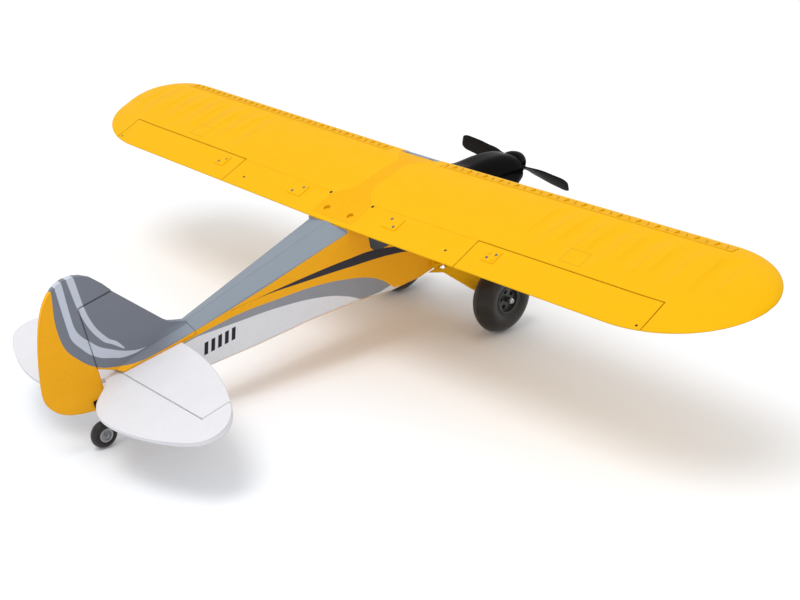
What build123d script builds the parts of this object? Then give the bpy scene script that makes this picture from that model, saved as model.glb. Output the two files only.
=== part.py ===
from build123d import *
import os
from math import asin, atan2, cos, degrees, hypot, radians, sin, sqrt, tan, atan, pi

# A foam radio-control bush plane, one STEP file per sub-part, in millimetres.
#
# Everything is drawn in the flying frame: +X forward, +Y to the plane's left, +Z up, X = 0 at the
# wing's leading edge and Z = 0 on the wing's flat underside. At export the whole model is pitched
# nose-up about Y until its three wheels stand on the ground, and moved so that the origin is the
# bottom centre of its bounding box.

# ---------------------------------------------------------------- driving dimensions

SPAN = 1300.0
CHORD = 206.6
SECTION_SCALE = 1.049            # thickness of the flat-bottomed section against its table
DIHEDRAL = atan(0.013)           # each panel, radians
TIP_RISE = 3.5                   # how far the tip's underside curls up
TE_CURVE_START = 499.0           # the trailing edge leaves its straight line here
LE_CURVE_START = 547.0           # and the leading edge here
TIP_X = -88.0                    # where both tip curves meet

# Flat-bottomed aerofoil, as fractions of the chord: (station, height)
AEROFOIL_UPPER = [(1.0, 0.006), (0.9, 0.028), (0.8, 0.0522), (0.7, 0.0735), (0.5, 0.1052),
                  (0.3, 0.117), (0.2, 0.1136), (0.1, 0.096), (0.05, 0.079), (0.0125, 0.0545)]
AEROFOIL_LOWER = [(0.0, 0.035), (0.0125, 0.0193), (0.05, 0.0093), (0.1, 0.0042), (0.2, 0.0003),
                  (0.3, 0.0)]

AILERON_HINGE_X = -155.0
AILERON_HINGE_Z = 6.8
AILERON_INNER, AILERON_OUTER = 249.0, 548.0
END_GAP = 1.2                    # daylight at each end of an aileron
TAIL_GAP = 0.5                   # and beside the elevator's balance horns
AILERON_NOSE = 6.6               # radius of the rounded nose
COVE_GAP = 0.6                   # between the nose and the cove that it turns in

WALL = 5.0                       # foam wall
TAIL_POST_X = -610.0             # rudder hinge line
DECK_JOINT_X = -467.3            # where the fin's base meets the rear deck
STAB_Z = -40.0                   # mid-plane of the tailplane
STAB_HALF = 4.0                  # half its thickness
ELEVATOR_HINGE_X = -581.0
FIN_HALF = 4.5                   # half the fin's thickness
NOSE_X = 60.0                    # front of the foam fuselage
NOSE_TOP = [(60.3, -30.0), (0.6, -9.5)]      # crown of the windshield and hatch
SILL = [(0.3, -42.0), (60.6, -62.0)]         # where the hatch lifts off the sides
COWL_FRONT, COWL_WALL = 161.0, 1.8

PROP_X, PROP_Z = 175.0, -78.0
PROP_RADIUS = 112.0
PROP_REST = 7.4                  # degrees that the left blade stands above level
PROP_PITCH = 152.0

WHEEL_X, WHEEL_Y, WHEEL_Z = 1.0, 112.8, -199.5
WHEEL_RADIUS, WHEEL_HALF = 55.0, 19.0
AXLE_RADIUS = 2.0
TAIL_WHEEL_X, TAIL_WHEEL_Z = -625.0, -108.6
TAIL_WHEEL_RADIUS, TAIL_WHEEL_HALF = 19.0, 7.0
TAIL_WIRE_RADIUS = 1.0

STRUT_SPAN = 394.0               # where the struts meet the wing
STRUT_X = (-40.0, -130.5)        # front and rear strut at the wing
STRUT_ROOT_X = (-42.0, -58.0)    # and at the belly
JURY_SHARE = 0.52                # how far up the struts the jury strut stands
ROD_RADIUS = 0.75                # pushrod wire
PIN_CLEARANCE = 0.06             # radial, for every turning fit
EYE_CLEARANCE = 0.12             # radial, where a pushrod's far bend passes a horn's eye
AILERON_CRANK = 20.0             # servo arm and horn radius of each linkage
ELEVATOR_CRANK = 16.0
RUDDER_CRANK = 12.0
AILERON_SERVO_X = -95.0
AILERON_LINK_Y = 286.5
FLAP_EYE_Z = -19.5               # under the aileron linkage, so that a flap rod can run out past it
ELEVATOR_SERVO_X = -205.0
ELEVATOR_LINK_Y = 14.0
RUDDER_SERVO_X = -150.0
RUDDER_LINK_Z = -60.0

PARTS = {}


# ---------------------------------------------------------------- helpers

def block(x0, x1, y0, y1, z0, z1):
    """Box between two corners."""
    centre = Pos((x0 + x1) / 2, (y0 + y1) / 2, (z0 + z1) / 2)
    return centre * Box(abs(x1 - x0), abs(y1 - y0), abs(z1 - z0))


def rod(start, end, radius):
    """Round bar between two points."""
    start, end = Vector(*start), Vector(*end)
    return Solid.make_cylinder(radius, (end - start).length, Plane(start, z_dir=end - start))


def prism_xz(points, y0, y1):
    """Outline given in X and Z, drawn out along Y."""
    face = Face(Wire.make_polygon([(x, y0, z) for x, z in points], close=True))
    return extrude(face, amount=y1 - y0, dir=(0, 1, 0))


def prism_xy(points, z0, z1):
    """Outline given in X and Y, drawn out along Z."""
    face = Face(Wire.make_polygon([(x, y, z0) for x, y in points], close=True))
    return extrude(face, amount=z1 - z0, dir=(0, 0, 1))


def smooth_prism_xz(points, y0, y1):
    """Outline with a smooth curve through its points and a straight closing side."""
    curve = Edge.make_spline([Vector(x, y0, z) for x, z in points])
    closing = Edge.make_line(curve @ 1, curve @ 0)
    return extrude(Face(Wire([curve, closing])), amount=y1 - y0, dir=(0, 1, 0))


def mirrored(shape):
    """The same piece on the other side of the plane of symmetry."""
    return mirror(shape, about=Plane.XZ)


def ruled(sections):
    """Solid with straight sides through polygons that each lie at one X."""
    wires = [Wire.make_polygon([(x, y, z) for y, z in points], close=True)
             for x, points in sections]
    return Solid.make_loft(wires, ruled=True)


def tube(points, radii, radius):
    """Bent wire through the points, with a bend radius for each corner."""
    path = FilletPolyline(*points, radius=radii)
    start = Plane(path @ 0, z_dir=path % 0)
    return sweep(start * Circle(radius), path=path)


def solids(*shapes):
    """One node holding each shape as its own solid."""
    found = []
    for shape in shapes:
        found += shape.solids()
    return Compound(found)


def lerp(x, table):
    """Straight-line interpolation in a list of (x, value) that runs towards lower x."""
    for (xa, va), (xb, vb) in zip(table, table[1:]):
        if xb <= x <= xa:
            return va + (vb - va) * (xa - x) / (xa - xb)
    return table[-1][1] if x < table[-1][0] else table[0][1]


# ---------------------------------------------------------------- wing

def leading_x(s):
    """Leading edge at span station s."""
    if s <= LE_CURVE_START:
        return 0.0
    t = (s - LE_CURVE_START) / (SPAN / 2 - LE_CURVE_START)
    return TIP_X * (1 - sqrt(1 - t * t))


def trailing_x(s):
    """Trailing edge at span station s."""
    if s <= TE_CURVE_START:
        return -CHORD
    t = (s - TE_CURVE_START) / (SPAN / 2 - TE_CURVE_START)
    return TIP_X - (CHORD + TIP_X) * sqrt(1 - t * t)


def tip_lift(s):
    """Height of the underside above the panel's flat at span station s."""
    return TIP_RISE * max(0.0, (s - TE_CURVE_START) / (SPAN / 2 - TE_CURVE_START)) ** 2


def aerofoil(s):
    """Closed section of the wing at span station s."""
    front, rear = leading_x(s), trailing_x(s)
    chord = front - rear
    lift = tip_lift(s)

    def at(station, height):
        return Vector(front - station * chord, s, lift + height * chord * SECTION_SCALE)

    nose = Edge.make_spline([at(*p) for p in AEROFOIL_UPPER + AEROFOIL_LOWER])
    underside = Edge.make_line(nose @ 1, at(1.0, 0.0))
    edge = Edge.make_line(at(1.0, 0.0), nose @ 0)
    return Wire([nose, underside, edge])


def top_z(x):
    """Height of the wing's upper surface over the constant-chord part."""
    points = [(-u * CHORD, z * CHORD * SECTION_SCALE) for u, z in reversed(AEROFOIL_UPPER)]
    return lerp(x, points)


def wing_blank():
    """Left panel with nothing cut out of it, before dihedral."""
    inner = extrude(Face(aerofoil(0.0)), amount=TE_CURVE_START, dir=(0, 1, 0))
    half = SPAN / 2
    stations = [TE_CURVE_START, 524.0, LE_CURVE_START, 575.0, 600.0, 622.0, 638.0, 647.0, half - 0.5]
    tip = Solid.make_loft([aerofoil(s) for s in stations])
    return inner + tip


def hinge_axis_rod(radius, s0, s1):
    """Bar along the aileron's hinge line."""
    return rod((AILERON_HINGE_X, s0, AILERON_HINGE_Z), (AILERON_HINGE_X, s1, AILERON_HINGE_Z), radius)


def hinge(knuckle, pin, leaf_reach, width):
    """Moulded hinge at the origin: pin and knuckle along Y, leaf running forward (+X)."""
    barrel = rod((0, -width / 2, 0), (0, width / 2, 0), knuckle)
    cross_pin = rod((0, -width * 1.6, 0), (0, width * 1.6, 0), pin)
    web = block(0, leaf_reach, -width / 2, width / 2, -0.6, 0.6)
    leaf = block(leaf_reach - 12, leaf_reach, -width * 1.4, width * 1.4, -0.6, 0.6)
    return barrel + cross_pin + web + leaf


def hinge_pocket(knuckle, pin, nose, width):
    """What a surface's nose gives up so that it can swing round a hinge."""
    reach = nose + 2.0
    rise = reach * tan(radians(33))
    wedge = prism_xz([(-0.5, 0.9), (reach, rise), (reach, -rise), (-0.5, -0.9)],
                     -width / 2 - 0.4, width / 2 + 0.4)
    barrel = rod((0, -width / 2 - 0.4, 0), (0, width / 2 + 0.4, 0), knuckle + 0.5)
    bore = rod((0, -width * 1.7, 0), (0, width * 1.7, 0), pin + PIN_CLEARANCE)
    return wedge + barrel + bore


AILERON_HINGES = [275.0, 398.0, 522.0]


def to_wing(shape, side):
    """Takes a piece from the flat left panel to its place on the left or right wing."""
    placed = Rot(degrees(DIHEDRAL), 0, 0) * shape
    return placed if side > 0 else mirrored(placed)


def centre_outline():
    """Half of the waisted plate over the wing joint, as (x, y)."""
    return [(-20.2, 0), (-20.2, 37), (-50, 12.5), (-120, 12.5), (-138, 20), (-157, 42),
            (-198, 42), (-198, 0)]


def servo_case():
    """Small servo with its output shaft along -Y, the shaft's face at the origin."""
    case = block(-17, 6, 4, 27, -6, 6)
    tabs = block(-22, 11, 9, 11, -6, 6)
    boss = rod((0, 4.5, 0), (0, 2.2, 0), 5.6)
    shaft = rod((0, 4.5, 0), (0, -1.6, 0), 2.2)
    return case + tabs + boss + shaft


def servo_arm(crank, clearance=PIN_CLEARANCE):
    """Arm on a servo's shaft, pointing down (-Z), 1.6 thick about the Y = 0 plane."""
    boss = rod((0, -1.6, 0), (0, 2.0, 0), 3.6)
    blade = prism_xz([(-3.0, 0), (3.0, 0), (2.0, -crank - 2), (-2.0, -crank - 2)], -0.8, 0.8)
    eye = rod((0, -0.8, -crank), (0, 0.8, -crank), 2.4)
    arm = boss + blade + eye
    arm -= rod((0, -1.7, 0), (0, 2.1, 0), 2.2 + clearance)
    return arm - rod((0, -2, -crank), (0, 2, -crank), ROD_RADIUS + clearance)


def pushrod(length, side=1.0):
    """Wire running aft from the origin, with a bent end through the arm and through the horn."""
    reach = 4.4 * side
    bend = 1.4
    points = [(0, reach, 0), (0, 0, 0), (-length, 0, 0), (-length, reach, 0)]
    return tube(points, [bend, bend], ROD_RADIUS)


def aileron_horn(skin):
    """Control horn under the aileron and its backing plate, cut to the foam's skin."""
    y = AILERON_LINK_Y
    drop = AILERON_HINGE_Z - AILERON_CRANK
    base = block(-163, -181, y - 7, y + 10, -1.6, 0.0)
    blade = prism_xz([(-164, -1), (-180, -1), (-158, drop - 2.4), (-154, drop - 2.4), (-152.6, drop)],
                     y - 0.9, y + 0.9)
    horn = base + blade
    horn -= rod((AILERON_HINGE_X, y - 2, drop), (AILERON_HINGE_X, y + 2, drop),
                ROD_RADIUS + EYE_CLEARANCE)
    plate = block(-162, -182, y - 9, y + 12, 5, 20) & Pos(0, 0, 0.9) * skin
    plate -= skin
    return horn, plate


def build_wing():
    """Both wing panels, ailerons, their hinges, horns, servos and linkages."""
    blank = wing_blank()
    bay = block(AILERON_HINGE_X, -CHORD - 20, AILERON_INNER, AILERON_OUTER, -10, 40)
    cove = hinge_axis_rod(AILERON_NOSE + COVE_GAP, AILERON_INNER, AILERON_OUTER)

    inner, outer = AILERON_INNER + END_GAP, AILERON_OUTER - END_GAP
    aileron = blank & block(AILERON_HINGE_X, -CHORD - 20, inner, outer, -10, 40)
    aileron += blank & hinge_axis_rod(AILERON_NOSE, inner, outer)
    panel = blank - bay - cove

    hinges = []
    for s in AILERON_HINGES:
        place = Pos(AILERON_HINGE_X, s, AILERON_HINGE_Z)
        unit = place * hinge(2.2, 0.8, 22.0, 5.0)
        hinges.append(unit)
        panel -= unit
        aileron -= place * hinge_pocket(2.2, 0.8, AILERON_NOSE, 5.0)

    horn, plate = aileron_horn(blank)
    horn_screws = []
    for dx, dy in ((-3, -4), (-12, 7)):
        spot = (AILERON_HINGE_X - 10 + dx, AILERON_LINK_Y + dy)
        top = top_z(spot[0]) + 0.9
        horn_screws.append(rod((spot[0], spot[1], top - 0.6), (spot[0], spot[1], -1.6), 0.9)
                           + rod((spot[0], spot[1], top - 0.6), (spot[0], spot[1], top + 0.7), 1.9))
    for screw in horn_screws:
        aileron -= screw
        horn -= screw
        plate -= screw

    # Servo lying on its side in the wing, its arm hanging below the underside.
    servo_spot = Pos(AILERON_SERVO_X, AILERON_LINK_Y, AILERON_HINGE_Z)
    servo = servo_spot * servo_case()
    arm = servo_spot * servo_arm(AILERON_CRANK)
    drop = AILERON_HINGE_Z - AILERON_CRANK
    link = Pos(AILERON_SERVO_X, AILERON_LINK_Y - 2.0, drop) * pushrod(AILERON_SERVO_X - AILERON_HINGE_X)
    x0, x1 = AILERON_SERVO_X - 23, AILERON_SERVO_X + 12
    panel -= block(x0, x1, AILERON_LINK_Y + 2.6, AILERON_LINK_Y + 28, -2, AILERON_HINGE_Z + 6.2)
    panel -= block(AILERON_SERVO_X - 13, AILERON_SERVO_X + 13, AILERON_LINK_Y - 3.4,
                   AILERON_LINK_Y + 3.0, -2, AILERON_HINGE_Z + 6.2)

    # Flap outline scored into the foam, not cut free, with its own horn ready on it.
    score = prism_xz([(-154.4, 20), (-155.6, 20), (-155, top_z(-155) - 1.2)], 43.5, AILERON_INNER)
    panel -= score
    flap_horn_y = 102.5
    base = block(-163, -183, flap_horn_y - 9, flap_horn_y + 9, -1.6, 0)
    blade = prism_xz([(-165, -1), (-181, -1), (-159.5, -22.2), (-154.5, -22.2), (-153, FLAP_EYE_Z)],
                     flap_horn_y - 0.9, flap_horn_y + 0.9)
    eye_x, eye_r = -156.5, 0.9
    flap_horn = base + blade
    flap_horn -= rod((eye_x, flap_horn_y - 2, FLAP_EYE_Z), (eye_x, flap_horn_y + 2, FLAP_EYE_Z), eye_r)
    flap_plate = (block(-162, -184, 88, 117, 2, 20) & Pos(0, 0, 0.9) * blank) - blank

    # Spar tube, bolts and the notch for the hatch.
    panel -= block(-20, 5, -1, 38, -2, 40)
    bolt_x, bolt_y = -184.0, 25.0
    panel -= rod((bolt_x, bolt_y, -5), (bolt_x, bolt_y, 20), 2.3)
    panel -= rod((bolt_x, bolt_y, 2.2), (bolt_x, bolt_y, 20), 5.0)

    # Waisted plate let into the upper surface.
    cover = prism_xy(centre_outline(), 0, 40) & blank
    cover -= Pos(0, 0, -0.8) * blank
    cover -= rod((bolt_x, bolt_y, -5), (bolt_x, bolt_y, 20), 5.0)
    panel -= cover

    # Vortex generators: small angled fins on a strip let into the skin behind the leading edge.
    front, rear, depth, proud = -17.0, -32.0, 1.2, 0.9
    middle = (front + rear) / 2
    strip = prism_xz([(x, top_z(x) + proud) for x in (front, middle, rear)]
                     + [(x, top_z(x) - depth) for x in (rear, middle, front)], 57, 557)
    panel -= strip
    for i in range(33):
        lean = 22 if i % 2 else -22
        fin = Pos(middle, 66 + i * 15.0, top_z(middle) + 1.3) * Rot(0, 0, lean) * Box(8, 0.9, 2.6)
        strip += fin & block(rear, front, 50, 560, top_z(middle) - 0.3, 40)

    half_space = block(-400, 100, 0, 800, -100, 100)
    finished = (Rot(degrees(DIHEDRAL), 0, 0) * panel) & half_space
    finished -= rod((-62, -1, 12.5), (-62, 212, 12.5), 4.05)
    horn_set = solids(horn, plate, *horn_screws)
    for side, word in ((1, "left"), (-1, "right")):
        PARTS[f"wing_{word}_panel"] = finished if side > 0 else mirrored(finished)
        PARTS[f"aileron_{word}"] = to_wing(aileron, side)
        PARTS[f"aileron_horn_{word}"] = to_wing(horn_set, side)
        PARTS[f"aileron_servo_arm_{word}"] = to_wing(arm, side)
        PARTS[f"aileron_pushrod_{word}"] = to_wing(link, side)
    PARTS["aileron_servos"] = solids(to_wing(servo, 1), to_wing(servo, -1))
    half_cover = (Rot(degrees(DIHEDRAL), 0, 0) * cover) & half_space
    PARTS["wing_center_plate"] = half_cover + mirrored(half_cover)
    PARTS["vortex_strips"] = solids(to_wing(strip, 1), to_wing(strip, -1))
    pieces = (flap_horn, flap_plate)
    PARTS["flap_horns"] = solids(*[to_wing(piece, side) for side in (1, -1) for piece in pieces])
    spar = rod((-62, -210, 12.5), (-62, 210, 12.5), 4.0) - rod((-62, -211, 12.5), (-62, 211, 12.5), 3.0)
    PARTS["wing_spar"] = spar
    return [to_wing(h, side) for side in (1, -1) for h in hinges], blank


# ---------------------------------------------------------------- fuselage

# Outer shape at each station, forward to aft: (x, value)
HALF_WIDTH = [(60, 38.4), (0, 41.5), (-206, 41.5), (-460, 20.5), (-610, 8.0)]
BELLY_Z = [(60, -128.5), (0, -141.5), (-85, -144.0), (-141, -137.0), (-207, -120.3), (-293, -109.0),
           (-380, -102.0), (-460, -92.8), (-610, -75.0)]
LONGERON_Z = [(-207, -5.0), (-460, -29.2), (-610, -36.0)]
RIDGE_Z = [(-207, 3.0), (-460, -20.0), (-610, -24.0)]
CHINE = 8.0                      # bevel along the belly's edges
SADDLE_X = -207.6                # rear of the wing's seat


def box_section(x, inset, top):
    """Left half of a flat-topped section, inset by a wall's thickness."""
    w = lerp(x, HALF_WIDTH) - inset
    low = lerp(x, BELLY_Z) + inset
    chine = CHINE * lerp(x, [(60, 1.0), (-207, 1.0), (-610, 0.35)])
    return x, [(0, top), (w, top), (w, low + chine), (w - chine, low), (0, low)]


def deck_section(x, inset):
    """Left half of a section under the hipped rear deck."""
    w = lerp(x, HALF_WIDTH) - inset
    low = lerp(x, BELLY_Z) + inset
    chine = CHINE * lerp(x, [(60, 1.0), (-207, 1.0), (-610, 0.35)])
    ridge, eave = lerp(x, RIDGE_Z) - inset, lerp(x, LONGERON_Z) - inset * 0.8
    return x, [(0, ridge), (w, eave), (w, low + chine), (w - chine, low), (0, low)]


def fuselage_outer():
    """Left half of the fuselage's outer shape."""
    cabin = ruled([box_section(x, 0, -0.3) for x in (60, 0, -85, -141, SADDLE_X)])
    deck = ruled([deck_section(x, 0) for x in (SADDLE_X, -293, -380, -460, DECK_JOINT_X)])
    seat = -490.3
    shelf = ruled([box_section(x, 0, -36.1) for x in (DECK_JOINT_X, seat)])
    boom = ruled([box_section(x, 0, STAB_Z - STAB_HALF - 0.2) for x in (seat, -606.0)])
    return cabin + deck + shelf + boom


def fuselage_inner():
    """Left half of the hollow, with the openings under the wing and the hatch."""
    cabin = ruled([box_section(x, WALL, -12.0) for x in (61, 0, -85, -141, SADDLE_X)])
    deck = ruled([deck_section(x, WALL) for x in (SADDLE_X, -293, -380, -460)])
    run = ruled([box_section(x, WALL, -50.0) for x in (-460, -520)])
    under_wing = block(-30, -165, -1, 34, -13, 1)
    under_hatch = block(-19.7, 54, -1, 33.5, -40, 1)
    return cabin + deck + run + under_wing + under_hatch


def build_fuselage():
    """Two moulded halves, the hatch with its windshield, and the side windows."""
    half = fuselage_outer() - fuselage_inner()
    half -= prism_xz([(SILL[0][0], 2), *SILL, (SILL[1][0], 2)], -1, 60)
    half -= block(-19.7, 0.4, -1, 37.8, -13.5, 2)
    # Clearance for the elevator's joiner, then the cove that the rudder turns in.
    half -= prism_xz([(-576, -43), (-576, -44.4), (-606.5, -57.0), (-606.5, -43)], -1, 30)
    half -= rod((TAIL_POST_X, 0, -90), (TAIL_POST_X, 0, -30), FIN_HALF + 0.6)
    # Wing bolts screw into the thick part of the saddle.
    half -= rod((-184, 25, -20), (-184, 25, 5), 2.3)

    # Windows let into the cabin's sides, just behind and below the leading edge.
    outline = [(-172, -12), (-172, -46), (-168, -52), (-160, -55.5), (-148, -58.5), (-120, -60.5),
               (-40, -60.5), (-24, -58), (-17, -50), (-14, -34), (-18, -12)]
    window = prism_xz(outline, 40.6, 41.6)
    half -= prism_xz(outline, 40.6, 43)
    PARTS["side_windows"] = solids(window, mirrored(window))

    left, right = half, mirrored(half)
    # Pushrods leave through slots low on the tail, one on each side.
    left -= block(-470, -578, 10.4, 30, -59.0, -52.0)
    right -= block(-490, -590, -30, -8.4, -65.0, -57.4)
    # The rudder's horn swings into a notch in the tail post.
    right -= block(-595, -608, -30, -5.8, RUDDER_LINK_Z - 1.9, RUDDER_LINK_Z + 1.9)
    PARTS["fuselage_left_half"] = left
    PARTS["fuselage_right_half"] = right

    build_hatch()


def arch_section(x, half_width, top, low, r_top, r_low):
    """Section across the nose, with one radius at its upper corners and one at its lower."""
    k = 1 - sqrt(0.5)
    w, inner = half_width, half_width - r_top
    a, b, c = (inner, top), (w - k * r_top, top - k * r_top), (w, top - r_top)
    d, e, f = (w, low + r_low), (w - k * r_low, low + k * r_low), (w - r_low, low)
    a, b, c, d, e, f = [Vector(x, y, z) for y, z in (a, b, c, d, e, f)]
    g, h, i, j, m, n = [Vector(x, -p.Y, p.Z) for p in (a, b, c, d, e, f)]
    return Face(Wire([Edge.make_line(g, a), Edge.make_three_point_arc(a, b, c), Edge.make_line(c, d),
                      Edge.make_three_point_arc(d, e, f), Edge.make_line(f, n),
                      Edge.make_three_point_arc(n, m, j), Edge.make_line(j, i),
                      Edge.make_three_point_arc(i, h, g)]))


def nose_arch(inset, x0, x1):
    """Form of the windshield and hatch between two stations."""
    faces = []
    for x in (x1, x0):
        half_width = lerp(x, HALF_WIDTH) - 0.1 - inset
        faces.append(arch_section(x, half_width, lerp(x, NOSE_TOP) - inset, -110.0,
                                  29.0 - inset * 0.7, 6.0))
    return loft(faces)


def build_hatch():
    """Hatch over the battery: the windshield's arch and a tongue that fills the wing's notch."""
    low, high = SILL
    above_sill = prism_xz([(0.6, 30), (0.6, low[1] + 0.3), (60, high[1] + 0.5), (60, 30)], -50, 50)
    outer = nose_arch(0.0, 0.6, 60.0)
    hatch = (outer - nose_arch(WALL, 0.0, 61.0)) & above_sill
    section = Face(aerofoil(-37.2))
    tongue = extrude(section, amount=74.4, dir=(0, 1, 0)) & block(-19.4, 1, -38, 38, -1, 30)
    chin = prism_xz([(-19.4, 4.0), (-4, 4.0), (1.0, -1.0), (4.5, -9.0), (4.5, -14.0), (0.6, -14.0),
                     (0.6, -13.2), (-19.4, -13.2)], -32.0, 32.0)
    hatch += tongue + chin
    for y in (-25, 25):
        hatch -= block(-19.6, -16.5, y - 5, y + 5, 10, 30)
    # The dark screen lies in a shallow recess.
    recess, pane = 1.5, 1.2
    zone = prism_xz([(6, 30), (6, -34), (53, -52), (53, 30)], -50, 50)
    pane_zone = prism_xz([(6.3, 30), (6.3, -33.7), (52.7, -51.7), (52.7, 30)], -50, 50)
    hatch -= zone - nose_arch(recess, 0.0, 61.0)
    PARTS["battery_hatch"] = hatch
    PARTS["windshield"] = (outer - nose_arch(pane, 0.0, 61.0)) & pane_zone


# ---------------------------------------------------------------- nose and power

def cowl_shape(inset, x_front, x_back):
    """Cowl's outer or inner form: arched at the firewall, a flat oval at its mouth."""
    # Each station: x, half width, top, bottom, upper radius, lower radius
    stations = [(x_back, 38.3, -30.0, -128.5, 29, 10), (80, 38.0, -34.0, -126.5, 29, 18),
                (110, 37.0, -38.0, -121.5, 28, 26), (138, 35.5, -44.5, -113.5, 27, 29),
                (153, 34.0, -50.5, -105.5, 25, 26), (x_front, 32.0, -55.5, -100.5, 21.5, 21.5)]
    tighter = inset * 0.7
    return loft([arch_section(x, w - inset, top - inset, low + inset, r_top - tighter, r_low - tighter)
                 for x, w, top, low, r_top, r_low in stations])


def blade_section(r, chord, thickness):
    """Blade section at radius r along +Y, its leading edge forward."""
    angle = atan2(PROP_PITCH, 2 * pi * r)
    plane = Plane((0, r, 0), x_dir=(sin(angle), 0, cos(angle)), z_dir=(0, 1, 0))
    return plane * Ellipse(chord / 2, thickness / 2)


def build_nose():
    """Cowl, motor and its mount, propeller and spinner."""
    cowl = cowl_shape(0, COWL_FRONT, NOSE_X + 0.3)
    cowl -= cowl_shape(COWL_WALL, COWL_FRONT - COWL_WALL, NOSE_X + 0.2)
    cowl -= rod((150, 0, PROP_Z), (163, 0, PROP_Z), 13)
    for y in (-21, 21):
        intake = extrude(Ellipse(9.5, 5.5), 8, both=True)
        cowl -= Pos(COWL_FRONT - 3, y, PROP_Z) * Rot(0, 90, 0) * intake
    PARTS["cowl"] = cowl

    mount = block(60.3, 63.3, -28, 28, -112, -48)
    for y in (-11, 11):
        for z in (-11, 11):
            mount += rod((63, y, PROP_Z + z), (82, y, PROP_Z + z), 3.0)
    mount += rod((81, 0, PROP_Z), (84, 0, PROP_Z), 19)
    mount -= rod((55, 0, PROP_Z), (90, 0, PROP_Z), 5)
    PARTS["motor_mount"] = mount

    base = rod((84, 0, PROP_Z), (92, 0, PROP_Z), 14)
    core = rod((92, 0, PROP_Z), (117, 0, PROP_Z), 6)
    stator = base + core
    for i in range(12):
        arm = Rot(30 * i, 0, 0) * block(95, 114, -1.1, 1.1, 4, 10.6)
        stator += Pos(0, 0, PROP_Z) * arm
    stator -= rod((83, 0, PROP_Z), (118, 0, PROP_Z), 2.0 + PIN_CLEARANCE)
    PARTS["motor_stator"] = stator

    can = rod((93, 0, PROP_Z), (124, 0, PROP_Z), 14) - rod((92, 0, PROP_Z), (120, 0, PROP_Z), 11.4)
    for i in range(6):
        can -= Pos(0, 0, PROP_Z) * Rot(60 * i, 0, 0) * rod((119, 8.5, 0), (125, 8.5, 0), 2.2)
    can += rod((124, 0, PROP_Z), (163, 0, PROP_Z), 5.0)
    can += rod((86, 0, PROP_Z), (186, 0, PROP_Z), 2.0)
    PARTS["motor_can"] = can

    profile = [(8, 11, 6.5), (26, 17, 4.6), (50, 23.5, 3.4), (76, 25.5, 2.6), (98, 25.0, 2.0),
               (107.5, 21.5, 1.6), (PROP_RADIUS, 15, 1.2)]
    blade = loft([blade_section(*p) for p in profile])
    hub = rod((-6.5, 0, 0), (6.5, 0, 0), 10)
    propeller = hub + blade + Rot(180, 0, 0) * blade
    propeller -= rod((-10, 0, 0), (10, 0, 0), 2.02)
    spin = Pos(PROP_X, 0, PROP_Z) * Rot(PROP_REST, 0, 0)
    PARTS["propeller"] = spin * propeller

    # Spinner: a hollow dome, notched for the blades.
    nose_x, base_x, base_r = 194.0, 162.5, 21.5
    arc = Edge.make_spline([Vector(base_x, 0, base_r), Vector(base_x + 13, 0, base_r * 0.94),
                            Vector(base_x + 25, 0, base_r * 0.68), Vector(nose_x, 0, 0)],
                           tangents=[Vector(1, 0, 0), Vector(0, 0, -1)])
    edges = [arc, Edge.make_line((nose_x, 0, 0), (base_x, 0, 0)),
             Edge.make_line((base_x, 0, 0), (base_x, 0, base_r))]
    dome = revolve(Face(Wire(edges)), axis=Axis.X)
    spinner = dome - rod((164.7, 0, 0), (183, 0, 0), 11.5) - rod((180, 0, 0), (187.5, 0, 0), 3.0)
    spinner -= block(167.2, 182.8, -30, 30, -7.6, 7.6)
    spinner -= rod((150, 0, 0), (165.5, 0, 0), 5.05)
    PARTS["spinner"] = Pos(0, 0, PROP_Z) * Rot(PROP_REST, 0, 0) * spinner


def build_radio():
    """Battery, speed controller, receiver, servo tray and the two tail servos."""
    pack = fillet(block(-24, 50, -17, 17, -122, -96).edges(), 3)
    PARTS["battery_pack"] = pack
    PARTS["esc"] = block(4, 48, 25.5, 33, -84, -60) + block(10, 40, 24.5, 25.6, -80, -64)
    receiver = block(-104, -68, -12, 12, -132, -119)
    for i in range(6):
        receiver -= block(-105, -98, -10.5 + 3.6 * i, -8 + 3.6 * i, -130, -121)
    PARTS["receiver"] = receiver

    elevator_servo = Pos(ELEVATOR_SERVO_X, ELEVATOR_LINK_Y, STAB_Z) * mirrored(servo_case())
    rudder_turn = Rot(-90, 0, 0)
    rudder_servo = Pos(RUDDER_SERVO_X, 0, RUDDER_LINK_Z) * rudder_turn * servo_case()
    PARTS["tail_servos"] = solids(elevator_servo, rudder_servo)

    front_plate = block(-131, -178, -36, 36, -73.2, -71.2) - block(-143.5, -167.5, -6.5, 6.5, -75, -70)
    rear_plate = block(-180, -232, -34, 34, STAB_Z - 8, STAB_Z - 6)
    rear_plate -= block(-190, -226, 11, 19, -60, -30)
    PARTS["servo_tray"] = solids(front_plate, rear_plate)


# ---------------------------------------------------------------- tail

# Left half of the tailplane and elevator in plan: (y, x)
TAIL_OUTLINE = [(0, -490.5), (34, -491), (80, -497), (130, -511.5), (176, -532), (207, -553.5),
                (223, -581), (219, -605), (196, -624.5), (150, -644), (96, -654.5), (62, -651.5),
                (34, -635.5), (15, -612), (0, -600)]
HORN_SPLIT = 182.0               # inboard of here the elevator hinges, outboard it is a balance horn
BALANCE_X = -538.0               # front of the balance horns


def hinge_bar(reach, radius):
    """Round bar along the elevator's hinge line, out to both sides."""
    return rod((ELEVATOR_HINGE_X, -reach, STAB_Z), (ELEVATOR_HINGE_X, reach, STAB_Z), radius)


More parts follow.
